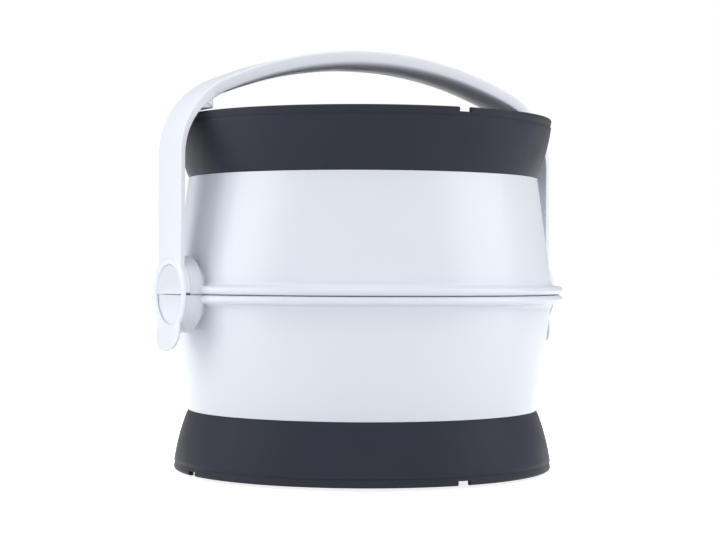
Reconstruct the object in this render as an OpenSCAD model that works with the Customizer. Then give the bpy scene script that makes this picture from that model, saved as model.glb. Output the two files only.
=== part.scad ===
// Round electric lunch box: two matching tapered halves on a rear hinge, dark flared rings,
// a bail handle whose eyes sit on split bosses, a heated well below and a tray above.
// Millimetres, +Z up, origin on the table under the centre of the box.
// The handle's axis runs along X and the front faces -Y.

/* [Body] */
// Height of one half, from the seam to its rim
half_height = 77.4; // [74:0.2:90]
// Radius that the white wall would reach at the seam
seam_radius = 84.5; // [83:0.1:88]
// Radius where the white wall meets the dark ring
waist_radius = 77.7; // [77:0.1:80]
// Height of the dark flared ring
ring_height = 26.2; // [24:0.1:28]
// Radius of the rim at the wide end of the ring
rim_radius = 84.2; // [83:0.1:88]
// How far the ring's side bows out from a straight line
flare_bulge = 0.95; // [0.4:0.05:1.6]
// Wall thickness of the moulded shells and rings
wall = 2.4; // [2:0.1:2.8]
// Height of the band at the rim that is set back by a fine step
rim_band = 3.6; // [2.8:0.1:4.2]
// Depth of that fine step
rim_step = 0.35; // [0.2:0.05:0.5]
// Radius of the rim's rounded edge
rim_round = 1.5; // [0.8:0.1:1.8]
// Depth of the end panel below the rim's edge
panel_recess = 2.2; // [1.8:0.1:3]
// Thickness of the end panels
panel_thickness = 2; // [1.6:0.1:2.4]

/* [Rim notches] */
// Width of each notch in the rim
notch_width = 6; // [3:0.5:8]
// Depth of each notch in the rim
notch_depth = 2; // [1:0.1:2.2]

/* [Seam flange] */
// Outer radius of the flange at the seam
flange_radius = 89.1; // [87:0.1:89.4]
// Height of one flange lobe above or below the seam
lobe_height = 3.7; // [3.2:0.1:4.2]
// Fillet between a lobe and the white wall
lobe_fillet = 2; // [1:0.1:2.6]
// Gap between the two halves at the seam
seam_gap = 0.6; // [0.6:0.1:1]

/* [Bosses] */
// Radius of the boss half on the lid that the handle turns on
boss_radius = 12.4; // [11.6:0.1:12.6]
// Radius of the hubs and of the boss half on the base
hub_radius = 16.2; // [15:0.1:16.2]
// Reach of the lid's hub from the centre of the box
hub_reach = 91.7; // [90:0.1:91.7]
// Clear space between the handle's eye and the ends of the flange
flange_clear = 0.8; // [0.5:0.1:1.5]

/* [Handle] */
// Height of the handle's crown above the seam
handle_rise = 107.3; // [105:0.1:115]
// Radius of the crown
crown_radius = 180; // [160:1:220]
// Radius of the bend between the crown and an arm
bend_radius = 36; // [33:0.5:38]
// Distance from the centre of the box to the outer face of an arm
arm_reach = 94.6; // [94.6:0.1:96]
// Width of the strap
strap_width = 23; // [18:0.5:24]
// Thickness of the arms
arm_thickness = 2.4; // [2:0.1:2.4]
// Depth of the grip at the middle of the crown
grip_depth = 7.9; // [6:0.1:10]
// Radius of the underside of the grip
under_radius = 190; // [170:1:230]
// Distance from the centre to the inner face of the shoulders
shoulder_reach = 79.3; // [76:0.1:81]
// Radius of the eye at the end of each arm
eye_radius = 16.5; // [16.5:0.1:17.5]
// Thickness of the eye in front of the boss
eye_thickness = 1.2; // [1:0.1:1.4]
// How far the eye's face stands proud of the arm
eye_proud = 0.6; // [0.3:0.1:0.6]
// Rounding of the eye's outer edge
eye_round = 2.2; // [1.4:0.1:2.2]
// Distance from the handle's axis down to the end of a finger tab
tab_drop = 24.2; // [22:0.1:28]
// Height of a finger tab
tab_height = 12.6; // [11:0.1:13]
// Corner radius of a finger tab
tab_corner = 7.5; // [4:0.5:8]
// Thickness of a finger tab
tab_thickness = 1.5; // [1.4:0.1:2]
// Angle at which a finger tab flares out
tab_flare = 7; // [0:1:14]
// Angle that the handle rocks each way before its shoulders meet the rim
handle_rock = 3; // [2:1:5]

/* [Lid hinge] */
// Distance from the centre of the box back to the hinge pin
hinge_reach = 88.8; // [88.4:0.1:90]
// Radius of the hinge knuckles
knuckle_radius = 3.4; // [3:0.1:3.6]
// Radius of the hinge pin
pin_radius = 1.5; // [1.2:0.1:1.8]
// Half of the length of the lid's middle knuckle
knuckle_half = 9.2; // [7:0.1:12]
// Length of each knuckle on the base
knuckle_length = 9.5; // [7:0.1:12]

/* [Heated well] */
// Inner radius of the well at its mouth
well_radius = 76; // [75:0.1:76.4]
// Inner radius of the well at its floor
well_floor = 70.5; // [68:0.1:71]
// Inner depth of the well
well_depth = 52; // [46:0.5:54]
// Radius between the floor and the side of the well
well_corner = 8; // [5:0.5:12]
// Sheet thickness of the well and of the lid's liner
sheet = 1; // [0.8:0.1:1.2]
// Inner height of the liner inside the lid
liner_depth = 58; // [52:0.5:60]
// Radius of the heating plate under the well
plate_radius = 50; // [44:1:54]
// Thickness of the heating plate
plate_thickness = 5; // [4.4:0.1:6]
// Ring radius of the tubular heating element
element_ring = 38; // [32:1:42]
// Tube radius of the heating element
element_tube = 2.8; // [2.2:0.1:3.2]

/* [Containers] */
// Inner radius of the food bowl at its mouth
bowl_radius = 72.6; // [70:0.1:73]
// Inner radius of the food bowl at its floor
bowl_floor = 67.6; // [64:0.1:68]
// Sheet thickness of the bowl and the tray
steel = 0.7; // [0.6:0.1:0.9]
// Inner radius of the upper tray at its mouth
tray_radius = 66; // [60:0.1:67]
// Inner radius of the upper tray at its floor
tray_floor = 63; // [57:0.1:64]
// Inner depth of the upper tray
tray_depth = 38; // [24:0.5:39]
// Thickness of the container lids
cover_thickness = 1.6; // [1.4:0.1:1.8]

/* [Feet and screws] */
// How far the rubber feet stand below the rim
foot_proud = 1.5; // [0.8:0.1:2.5]
// Radius of a rubber foot
foot_radius = 7; // [5:0.5:9]
// Distance of the feet from the centre of the box
foot_circle = 60; // [50:1:64]
// Radius of the case screws' shanks
screw_radius = 1.4; // [1.2:0.1:1.6]

/* [Power inlet] */
// Width of the inlet housing
inlet_width = 22; // [20:0.5:26]
// Height of the inlet housing
inlet_height = 13.6; // [12:0.1:14]
// Width of the plug's recess
socket_width = 15.9; // [15:0.1:17]
// Height of the plug's recess
socket_height = 8.9; // [8:0.1:9.5]
// Depth of the plug's recess
socket_depth = 12; // [9:0.5:14]
// Distance between the two contact pins
pin_pitch = 8.6; // [8:0.1:9]

/* [Hidden] */
$fn = 96;

white = [0.93, 0.94, 0.95];
charcoal = [0.23, 0.25, 0.29];
steel_grey = [0.75, 0.76, 0.78];
silicone = [0.62, 0.64, 0.66];

// Clearances: between pieces of one half, between bodies that move, and round a turning pin
fit = 0.2;
apart = 0.3;
running = 0.06;

// Levels are distances from the seam, the same in both halves
seam_z = foot_proud + half_height;
seam_face = seam_gap / 2;
waist_level = half_height - ring_height;
panel_outer = half_height - panel_recess;
panel_inner = panel_outer - panel_thickness;
web_inner = panel_inner - 2;
sleeve_radius = waist_radius - 2.3;
sleeve_inner = sleeve_radius - 2.2;
well_level = seam_face + 2.7;
ledge_level = well_level + sheet;
ledge_radius = well_radius + sheet + 0.6;
collar_radius = seam_radius - 4.3;
screw_ring = (ledge_radius + collar_radius) / 2 - 0.15;
chamber_top = well_level + well_depth + sheet;
groove_radius = seam_radius - 2.6;
groove_width = 1.8;
groove_depth = 1.7;

function wall_radius(level) =
    seam_radius - (seam_radius - waist_radius) * level / waist_level;

// Arc of the ring's side through the waist and the rim, bowed out by flare_bulge
flare_run = rim_radius - waist_radius;
flare_chord = norm([flare_run, ring_height]);
flare_radius = (flare_chord ^ 2 / 4 + flare_bulge ^ 2) / (2 * flare_bulge);
flare_centre = [
    (waist_radius + rim_radius) / 2 - (flare_radius - flare_bulge) * ring_height / flare_chord,
    waist_level + ring_height / 2 + (flare_radius - flare_bulge) * flare_run / flare_chord
];

// Handle: the eye stands in front of the base's boss, the arch behind it rides on the lid's boss
eye_face = arm_reach + eye_proud;
eye_back = eye_face - eye_thickness;
base_boss_end = eye_back - apart;
lid_boss_end = base_boss_end + 0.6;
eye_hole = boss_radius + 0.5;
arch_start = hub_reach + apart;
arch_cut = handle_rock + 1;
bend_x = arm_reach - bend_radius;
crown_z = handle_rise - crown_radius;
bend_z = crown_z + sqrt((crown_radius - bend_radius) ^ 2 - bend_x ^ 2);
crown_half = asin(bend_x / (crown_radius - bend_radius));
bend_overlap = 0.03;
under_z = handle_rise - grip_depth - under_radius;
rock_dip = strap_width / 2 * sin(handle_rock);
shoulder_z = (half_height + apart + rock_dip) / cos(handle_rock);

// Containers: the bowl hangs in the well by its rim, the tray stands on the bowl's cover
bowl_level = well_level - steel;
bowl_depth = well_depth - apart;
bowl_rim = bowl_radius + 2.4;
cover_level = bowl_level - cover_thickness;
stack_rib = 1.6;
tray_foot = stack_rib - cover_level;
tray_mouth = tray_foot + steel + tray_depth;
tray_rim = tray_radius + 2.2;
skirt_gap = 2.2;
skirt_height = 4.6;
gasket_height = 2.6;
vent_radius = 2.6;
vent_ring = 30;

// Chamber under the well: plate, element, thermostat and shield hang from the well's floor
plate_bottom = chamber_top + plate_thickness;
shield_level = panel_inner - 2.6;
shield_radius = plate_radius + 5;
shield_hole = 13;
stud_ring = plate_radius - 4;
post_radius = 4.4;
post_ring = sleeve_inner - post_radius + 0.8;
post_top = chamber_top + 2;
lead_level = plate_bottom + 2.6;

// Power inlet at the back, just above the ring's inner web
inlet_z = seam_z - web_inner + fit + inlet_height / 2;
inlet_face = rim_radius - 2;
inlet_back = inlet_face - socket_depth - 6;
ear_depth = 5;
ear_width = 6.5;
ear_back = sleeve_inner - 10;

module round_rect(width, height, corner) {
    square([width - 2 * corner, height], center = true);
    square([width, height - 2 * corner], center = true);
    for (x = [-1, 1], y = [-1, 1])
        translate([x * (width / 2 - corner), y * (height / 2 - corner)]) circle(r = corner);
}

module along_x(from, to, radius) {
    translate([from, 0, 0]) rotate([0, 90, 0]) cylinder(r = radius, h = to - from);
}

module ring_of(count, radius, start = 45) {
    for (i = [0 : count - 1])
        rotate([0, 0, start + i * 360 / count]) translate([radius, 0, 0]) children();
}

// Places a piece drawn from the seam outwards on the lower or the upper half
module lower_half() {
    translate([0, 0, seam_z]) mirror([0, 0, 1]) children();
}

module upper_half() {
    translate([0, 0, seam_z]) children();
}

// White shells

module shell_outline() {
    polygon([
        [collar_radius, seam_face],
        [wall_radius(seam_face), seam_face],
        [waist_radius, waist_level],
        [sleeve_radius, waist_level],
        [sleeve_radius, panel_inner],
        [sleeve_inner, panel_inner],
        [sleeve_inner, waist_level - wall],
        [wall_radius(waist_level - 2 * wall) - wall, waist_level - 2 * wall],
        [wall_radius(ledge_level + 2 * wall) - wall, ledge_level + 2 * wall],
        [ledge_radius, ledge_level + wall],
        [ledge_radius, ledge_level],
        [collar_radius, ledge_level]
    ]);
}

module lobe_outline() {
    lobe = (lobe_height - seam_face) / 2;
    middle = seam_face + lobe;
    root = seam_radius - 0.8;
    translate([flange_radius - lobe, middle]) circle(r = lobe);
    translate([root, seam_face]) square([flange_radius - lobe - root, 2 * lobe]);
    difference() {
        translate([root - 0.6, lobe_height - 0.1]) square([lobe_fillet + 1.1, lobe_fillet + 0.1]);
        translate([wall_radius(lobe_height) + lobe_fillet, lobe_height + lobe_fillet])
            circle(r = lobe_fillet);
    }
}

module wall_core() {
    rotate_extrude()
        polygon([
            [0, -1], [wall_radius(-1), -1], [wall_radius(waist_level), waist_level], [0, waist_level]
        ]);
}

// Flange of one half, left out round the bosses and round the other half's knuckles
module flange(other_from, other_to) {
    difference() {
        rotate_extrude() lobe_outline();
        difference() {
            along_x(-flange_radius - 1, flange_radius + 1, eye_radius + flange_clear);
            wall_core();
        }
        for (side = [-1, 1])
            translate([0, hinge_reach, 0])
                along_x(side > 0 ? other_from : -other_to, side > 0 ? other_to : -other_from,
                    knuckle_radius + apart + 0.1);
    }
}

// Half boss of one side, from the shell's wall out to its end
module half_boss(radius, end) {
    difference() {
        for (side = [0, 1])
            mirror([side, 0, 0]) along_x(seam_radius - 4, end, radius);
        translate([-eye_face - 10, -hub_radius - 1, -hub_radius - 1])
            cube([2 * eye_face + 20, 2 * hub_radius + 2, hub_radius + 1 + seam_face]);
    }
}

// Knuckle from x = from to x = to, with its web to the shell
module knuckle(from, to) {
    web_start = seam_radius - 1.5;
    translate([0, hinge_reach, 0]) along_x(from, to, knuckle_radius);
    translate([from, web_start, seam_face])
        cube([to - from, hinge_reach - web_start, knuckle_radius - seam_face]);
}

module pin_bore() {
    half = base_knuckle + knuckle_length + 1;
    translate([0, hinge_reach, 0]) along_x(-half, half, pin_radius + running);
}

module screw_holes(ring, radius, from, to) {
    ring_of(4, ring) translate([0, 0, from]) cylinder(r = radius, h = to - from);
}

base_knuckle = knuckle_half + apart;

module base_shell() {
    color(white) lower_half() difference() {
        union() {
            rotate_extrude() shell_outline();
            flange(-base_knuckle, base_knuckle);
            half_boss(hub_radius, base_boss_end);
            for (side = [0, 1])
                mirror([side, 0, 0]) knuckle(base_knuckle, base_knuckle + knuckle_length);
            ring_of(4, post_ring)
                translate([0, 0, post_top]) cylinder(r = post_radius, h = panel_inner - apart - post_top);
        }
        // Groove for the seam gasket
        rotate_extrude() translate([groove_radius, seam_face - 1]) square([groove_width, groove_depth + 1]);
        screw_holes(screw_ring, rim_hole, ledge_level - 1, ledge_level + wall + 2);
        pin_bore();
        screw_holes(post_ring, screw_radius + running, post_top + 2, panel_inner + 1);
        translate([-inlet_width / 2 - ear_width - 1, 0, chamber_top - wall])
            cube([inlet_width + 2 * ear_width + 2, sleeve_radius + 1, ring_height]);
    }
}

module lid_shell() {
    color(white) upper_half() difference() {
        union() {
            rotate_extrude() shell_outline();
            flange(knuckle_half, base_knuckle + knuckle_length + apart);
            half_boss(boss_radius, lid_boss_end);
            half_boss(hub_radius, hub_reach);
            knuckle(-knuckle_half, knuckle_half);
        }
        screw_holes(screw_ring, rim_hole, ledge_level - 1, ledge_level + wall + 2);
        pin_bore();
    }
}

// Dark flared rings, the same moulding at both ends

module flare_disc(inset) {
    translate(flare_centre) circle(r = flare_radius - inset, $fn = 192);
}

module flare_band(inset, from, to) {
    intersection() {
        flare_disc(inset);
        translate([sleeve_radius - 10, from]) square([40, to - from]);
    }
}

module ring_outline() {
    band_level = half_height - rim_band;
    lip_inner = rim_radius - wall - 0.4;
    edge_x = rim_radius - rim_step - rim_round;
    difference() {
        union() {
            flare_band(0, waist_level, band_level);
            flare_band(rim_step, band_level - 0.1, half_height - rim_round);
            translate([edge_x - 4, half_height - rim_round - 1]) square([4, rim_round + 1]);
            translate([edge_x, half_height - rim_round]) circle(r = rim_round);
        }
        translate([0, waist_level - 1]) square([sleeve_radius + fit, ring_height + 2]);
        flare_band(wall, waist_level + 4, web_inner);
        translate([0, panel_inner]) square([lip_inner, panel_recess + panel_thickness + 1]);
    }
}

module dark_ring() {
    difference() {
        rotate_extrude() ring_outline();
        ring_of(4, rim_radius, 0)
            translate([-8, -notch_width / 2, half_height - notch_depth])
                cube([12, notch_width, notch_depth + 1]);
    }
}

module end_panel() {
    lip_inner = rim_radius - wall - 0.4;
    rotate_extrude()
        polygon([
            [0, panel_inner],
            [lip_inner - fit, panel_inner],
            [lip_inner - fit, panel_outer],
            [lip_inner - 9, panel_outer],
            [lip_inner - 9.6, panel_outer - 0.6],
            [0, panel_outer - 0.6]
        ]);
}

module base_ring() {
    color(charcoal) lower_half() difference() {
        dark_ring();
        translate([-inlet_width / 2 - fit, 0, seam_z - inlet_z - inlet_height / 2 - fit])
            cube([inlet_width + 2 * fit, rim_radius + 10, inlet_height + fit]);
    }
}

module lid_ring() {
    color(charcoal) upper_half() dark_ring();
}

module lid_panel() {
    color(charcoal) upper_half() end_panel();
}

head_radius = 2 * screw_radius;
head_height = 1.4;
panel_floor = panel_outer - 0.6;
foot_pocket = 1;

module bottom_cover() {
    color(charcoal) lower_half() {
        difference() {
            end_panel();
            screw_holes(post_ring, screw_radius + fit, panel_inner - 1, panel_outer + 1);
            screw_holes(post_ring, head_radius + fit, panel_outer - head_height, panel_outer + 1);
            ring_of(4, foot_circle, 0)
                translate([0, 0, panel_floor - foot_pocket])
                    cylinder(r = foot_radius + fit, h = foot_pocket + 2);
        }
        // Plinths that the inlet's ears are screwed to
        for (side = [-1, 1])
            translate([side * (inlet_width + ear_width) / 2, ear_back + ear_depth / 2, 0])
                difference() {
                    translate([-ear_width / 2, -ear_depth / 2, ear_seat])
                        cube([ear_width, ear_depth, panel_inner - ear_seat + 0.5]);
                    translate([0, 0, ear_seat - 1])
                        cylinder(r = screw_radius + running, h = panel_inner - ear_seat);
                }
    }
}

module rubber_feet() {
    color([0.12, 0.12, 0.13]) lower_half()
        ring_of(4, foot_circle, 0)
            rotate_extrude() {
                foot_top = panel_floor - foot_pocket;
                foot_end = half_height + foot_proud;
                polygon([
                    [0, foot_top], [foot_radius, foot_top], [foot_radius, foot_end - 0.8],
                    [foot_radius - 0.8, foot_end], [0, foot_end]
                ]);
            }
}

// A pan-head screw along +Z with its head's flat face at z = 0
module screw(radius, length, head, height) {
    translate([0, 0, -height]) difference() {
        cylinder(r = head, h = height);
        for (turn = [0, 90])
            rotate([0, 0, turn]) cube([1.3 * head, 0.25 * head, height], center = true);
    }
    cylinder(r = radius, h = length);
}

module bottom_screws() {
    color(steel_grey) lower_half()
        ring_of(4, post_ring)
            translate([0, 0, panel_outer - head_height]) mirror([0, 0, 1])
                screw(screw_radius, panel_outer - head_height - post_top - 3, head_radius,
                    head_height - 0.2);
}

// Heated well and what hangs under it

// Side of a drawn dish from its floor at depth to its mouth at 0, with a rounded corner
function dish_side(mouth, floor, depth, corner) =
    let (
        tilt = atan((mouth - floor) / depth),
        centre = [floor + corner * (sin(tilt) - 1) / cos(tilt), depth - corner],
        steps = 6
    )
    concat(
        [[0, depth]],
        [for (i = [0 : steps])
            let (angle = 90 - (90 - tilt) * i / steps)
            centre + corner * [cos(angle), sin(angle)]]
    );

// A drawn dish with a flat rim, opening towards the seam
module dish(mouth, floor, depth, corner, thick, rim) {
    outer = dish_side(mouth + thick, floor + thick, depth + thick, corner + thick);
    rotate_extrude() difference() {
        polygon(concat([[0, 0]], outer, [[mouth + thick, thick], [rim, thick], [rim, 0]]));
        polygon(concat([[0, -1]], dish_side(mouth, floor, depth, corner), [[mouth, 0], [mouth, -1]]));
    }
}

well_rim = collar_radius - fit;
rim_screw = 0.9;
rim_hole = rim_screw + 0.15;
rim_head = 1.3;
small_screw = 1.1;
small_head = 1.6;

module rim_screws(level) {
    ring_of(4, screw_ring) translate([0, 0, level]) screw(rim_screw, 4, rim_head, 1);
}

module heating_well() {
    color(steel_grey) lower_half() translate([0, 0, well_level]) difference() {
        dish(well_radius, well_floor, well_depth, well_corner, sheet, well_rim);
        screw_holes(screw_ring, rim_hole, -1, sheet + 1);
    }
}

module well_screws() {
    color(steel_grey) lower_half() rim_screws(well_level);
}

module element_path(radius) {
    gap = 14;
    rotate([0, 0, 90 + gap]) rotate_extrude(angle = 360 - 2 * gap)
        translate([element_ring, 0]) circle(r = radius, $fn = 32);
    for (side = [-1, 1])
        rotate([0, 0, 90 + side * gap]) translate([element_ring, 0, 0])
            cylinder(r = radius, h = 5, $fn = 32);
}

module heating_plate() {
    color([0.7, 0.71, 0.72]) lower_half() {
        difference() {
            translate([0, 0, chamber_top]) cylinder(r = plate_radius, h = plate_thickness);
            translate([0, 0, plate_bottom]) element_path(element_tube + fit / 2);
        }
        ring_of(3, stud_ring, 90 + 60)
            difference() {
                translate([0, 0, chamber_top]) cylinder(r = 3.4, h = shield_level - chamber_top);
                translate([0, 0, plate_bottom - 1])
                    cylinder(r = small_screw + running, h = shield_level - plate_bottom + 2);
            }
    }
}

module heating_element() {
    color([0.45, 0.42, 0.4]) lower_half() translate([0, 0, plate_bottom]) element_path(element_tube);
}

module thermostat() {
    color([0.2, 0.2, 0.22]) lower_half() {
        translate([0, 0, plate_bottom]) cylinder(r = 10, h = 1.6);
        translate([0, 0, plate_bottom]) cylinder(r = 8, h = shield_level - plate_bottom - 1);
        for (side = [-1, 1])
            translate([side * 9 - 0.4, -2.4, plate_bottom + 1]) cube([0.8, 4.8, 4]);
    }
}

module thermal_fuse() {
    color([0.85, 0.84, 0.8]) lower_half() translate([0, 24, plate_bottom + 2.2]) {
        along_x(-9, 9, 2.2);
        along_x(-14, 14, 0.6);
    }
}

module heat_shield() {
    color(steel_grey) lower_half() difference() {
        rotate_extrude()
            polygon([
                [shield_hole, shield_level], [shield_radius - 2, shield_level],
                [shield_radius, shield_level - 2], [shield_radius + 0.7, shield_level - 2],
                [shield_radius + 0.7, shield_level - 1.6], [shield_radius - 1.7, shield_level + 0.7],
                [shield_hole, shield_level + 0.7]
            ]);
        ring_of(3, stud_ring, 90 + 60)
            translate([0, 0, shield_level - 1]) cylinder(r = small_screw + fit, h = 3);
    }
}

module shield_screws() {
    color(steel_grey) lower_half()
        ring_of(3, stud_ring, 90 + 60)
            translate([0, 0, shield_level + 0.7]) mirror([0, 0, 1])
                screw(small_screw, shield_level - plate_bottom, small_head, 1);
}

// Power inlet, its contact pins and the leads to the heating element

ear_seat = seam_z - inlet_z + inlet_height / 2 - 2;

module power_inlet() {
    color([0.1, 0.1, 0.11]) difference() {
        union() {
            translate([0, inlet_face, inlet_z]) rotate([90, 0, 0])
                linear_extrude(inlet_face - inlet_back) round_rect(inlet_width, inlet_height, 2);
            for (side = [-1, 1])
                translate([side * (inlet_width + ear_width) / 2 - ear_width / 2 - side * 2, ear_back,
                    seam_z - ear_seat])
                    cube([ear_width, ear_depth, 2.4]);
        }
        translate([0, inlet_face + 1, inlet_z]) rotate([90, 0, 0])
            linear_extrude(socket_depth + 1)
                round_rect(socket_width, socket_height, socket_height / 2 - 0.1);
        for (side = [-1, 1]) {
            translate([side * pin_pitch / 2, inlet_back - 1, inlet_z]) rotate([-90, 0, 0])
                cylinder(r = 1.2 + running, h = 10);
            translate([side * (inlet_width + ear_width) / 2, ear_back + ear_depth / 2, 0])
                cylinder(r = screw_radius + running, h = seam_z);
        }
    }
}

module inlet_pins() {
    color([0.8, 0.7, 0.4])
        for (side = [-1, 1])
            translate([side * pin_pitch / 2, inlet_back - 5, inlet_z]) rotate([-90, 0, 0])
                cylinder(r = 1.2, h = inlet_face - inlet_back + 3);
}

module inlet_screws() {
    color(steel_grey)
        for (side = [-1, 1])
            translate([side * (inlet_width + ear_width) / 2, ear_back + ear_depth / 2,
                seam_z - ear_seat + 2.4])
                mirror([0, 0, 1]) screw(screw_radius, 4.6, 2.4, 1.4);
}

module wire(points) {
    for (i = [0 : len(points) - 2]) {
        run = points[i + 1] - points[i];
        flat = norm([run[0], run[1]]);
        translate(points[i]) rotate([0, atan2(flat, run[2]), atan2(run[1], run[0])])
            cylinder(r = 1.1, h = norm(run), $fn = 32);
        if (i > 0) translate(points[i]) sphere(r = 1.4, $fn = 32);
    }
}

module inner_leads() {
    end_x = element_ring * sin(14);
    end_y = element_ring * cos(14);
    low = seam_z - plate_bottom - 6.4;
    color([0.7, 0.12, 0.1])
        for (side = [-1, 1])
            wire([
                [side * pin_pitch / 2, inlet_back - 5.1, inlet_z],
                [side * end_x, end_y, low],
                [side * end_x, end_y, low + 1.2]
            ]);
}

module seam_gasket() {
    color([0.3, 0.31, 0.33]) lower_half() rotate_extrude()
        translate([groove_radius + 0.1, 0.05]) square([groove_width - 0.2, seam_face + groove_depth - 0.1]);
}

module hinge_pin() {
    reach = base_knuckle + knuckle_length;
    color(steel_grey) translate([0, hinge_reach, seam_z]) along_x(-reach, reach, pin_radius);
}

// Containers

module container_cover(rim, mouth) {
    skirt = mouth - skirt_gap;
    rotate_extrude() {
        square([rim, cover_thickness]);
        translate([skirt - 1.4, -skirt_height]) square([1.4, skirt_height + 0.1]);
    }
}

module cover_with_vent(rim, mouth) {
    difference() {
        union() {
            container_cover(rim, mouth);
            children();
        }
        translate([vent_ring, 0, -1]) cylinder(r = vent_radius, h = cover_thickness + 3);
    }
}

module cover_gasket(mouth, floor, depth) {
    inner = mouth - skirt_gap + fit / 2;
    outer = mouth - (mouth - floor) * gasket_height / depth - fit / 2;
    rotate_extrude() translate([inner, -gasket_height]) square([outer - inner, gasket_height]);
}

module vent_plug() {
    translate([vent_ring, 0, 0]) {
        translate([0, 0, -1.6]) cylinder(r = vent_radius + 0.8, h = 1.6);
        cylinder(r = vent_radius - 0.05, h = cover_thickness);
        translate([0, 0, cover_thickness]) cylinder(r = vent_radius + 1.4, h = 1);
    }
}

module food_bowl() {
    color(steel_grey) lower_half() translate([0, 0, bowl_level])
        dish(bowl_radius, bowl_floor, bowl_depth, well_corner - 1, steel, bowl_rim);
}

module bowl_cover() {
    color([0.8, 0.83, 0.86]) upper_half() translate([0, 0, -bowl_level])
        cover_with_vent(bowl_rim, bowl_radius)
            rotate_extrude()
                translate([tray_floor - 6, cover_thickness - 0.1]) square([2, stack_rib + 0.1]);
}

module bowl_gasket() {
    color(silicone) upper_half() translate([0, 0, -bowl_level])
        cover_gasket(bowl_radius, bowl_floor, bowl_depth);
}

module bowl_vent() {
    color(silicone) upper_half() translate([0, 0, -bowl_level]) vent_plug();
}

module food_tray() {
    color(steel_grey) upper_half() translate([0, 0, tray_mouth]) mirror([0, 0, 1])
        dish(tray_radius, tray_floor, tray_depth, 6, steel, tray_rim);
}

module tray_cover() {
    color([0.8, 0.83, 0.86]) upper_half() translate([0, 0, tray_mouth])
        cover_with_vent(tray_rim, tray_radius);
}

module tray_gasket() {
    color(silicone) upper_half() translate([0, 0, tray_mouth])
        cover_gasket(tray_radius, tray_floor, tray_depth);
}

module tray_vent() {
    color(silicone) upper_half() translate([0, 0, tray_mouth]) vent_plug();
}

module lid_liner() {
    color(steel_grey) upper_half() translate([0, 0, well_level]) difference() {
        dish(well_radius, well_floor, liner_depth, well_corner, sheet, well_rim);
        screw_holes(screw_ring, rim_hole, -1, sheet + 1);
    }
}

module liner_screws() {
    color(steel_grey) upper_half() rim_screws(well_level);
}

// Handle

// Outer outline of the handle seen from the front: a crown, two bends and two arms.
// The bends stand a hair proud, so that the outlines cross there and don't only touch.
module handle_outline() {
    far = 2 * crown_radius;
    intersection() {
        translate([0, crown_z]) circle(r = crown_radius, $fn = 192);
        translate([0, crown_z])
            polygon([
                [0, 0], [far * sin(crown_half), far * cos(crown_half)],
                [-far * sin(crown_half), far * cos(crown_half)]
            ]);
    }
    for (side = [0, 1])
        mirror([side, 0]) {
            translate([bend_x, bend_z]) circle(r = bend_radius + bend_overlap);
            translate([bend_x, 0]) square([bend_radius, bend_z]);
        }
}

// Room inside the handle: under the grip, under the shoulders and between the arms
module handle_room() {
    arm_inner = arm_reach - arm_thickness;
    intersection() {
        translate([0, under_z]) circle(r = under_radius, $fn = 192);
        translate([-shoulder_reach, 0]) square([2 * shoulder_reach, handle_rise]);
    }
    translate([-bend_x, crown_z - 1]) square([2 * bend_x, shoulder_z - crown_z + 1]);
    translate([-arm_inner, -1]) square([2 * arm_inner, bend_z + 1]);
    for (side = [-1, 1])
        intersection() {
            translate([side * bend_x, bend_z]) circle(r = bend_radius - arm_thickness);
            translate([-arm_inner - 1, 0]) square([2 * arm_inner + 2, shoulder_z]);
        }
}

module eye() {
    translate([eye_back, 0, 0]) rotate([0, 90, 0]) rotate_extrude()
        intersection() {
            union() {
                square([eye_radius - eye_round, eye_thickness]);
                translate([eye_radius - eye_round, eye_thickness - eye_round])
                    circle(r = eye_round);
            }
            square([eye_radius, eye_thickness]);
        }
}

// Arch behind the eye, open below so that the base's boss is free of it
module arch() {
    reach = 2 * hub_radius;
    rise = reach * tan(arch_cut);
    difference() {
        along_x(arch_start, eye_back + 0.1, hub_radius);
        translate([arch_start - 1, 0, 0]) rotate([90, 0, 90]) linear_extrude(eye_face - arch_start)
            polygon([[0, 0], [reach, rise], [reach, -reach], [-reach, -reach], [-reach, rise]]);
    }
}

// Tab with square corners where it leaves the eye and round ones at its end
module tab_outline() {
    half = strap_width / 2;
    translate([-half, tab_corner - tab_height]) square([strap_width, tab_height - tab_corner]);
    translate([tab_corner - half, -tab_height]) square([strap_width - 2 * tab_corner, tab_height]);
    for (side = [-1, 1])
        translate([side * (half - tab_corner), tab_corner - tab_height]) circle(r = tab_corner);
}

module finger_tab() {
    hang = tab_drop - tab_height;
    translate([eye_back, 0, -hang]) rotate([0, -tab_flare, 0])
        rotate([90, 0, 90]) linear_extrude(tab_thickness) tab_outline();
}

module handle() {
    color(white) upper_half() {
        difference() {
            union() {
                rotate([90, 0, 0]) linear_extrude(strap_width, center = true) difference() {
                    handle_outline();
                    handle_room();
                }
                for (side = [0, 1])
                    mirror([side, 0, 0]) {
                        eye();
                        arch();
                        finger_tab();
                    }
            }
            for (side = [0, 1])
                mirror([side, 0, 0]) {
                    along_x(arch_start - 1, eye_face + 1, boss_radius + running);
                    along_x(eye_back - 0.01, eye_face + 2, eye_hole);
                }
        }
    }
}

base_shell();
base_ring();
bottom_cover();
rubber_feet();
bottom_screws();
heating_well();
well_screws();
heating_plate();
heating_element();
thermostat();
thermal_fuse();
heat_shield();
shield_screws();
power_inlet();
inlet_pins();
inlet_screws();
inner_leads();
seam_gasket();
hinge_pin();
food_bowl();
bowl_cover();
bowl_gasket();
bowl_vent();
food_tray();
tray_cover();
tray_gasket();
tray_vent();
lid_shell();
lid_ring();
lid_panel();
lid_liner();
liner_screws();
handle();
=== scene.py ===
import math

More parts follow.
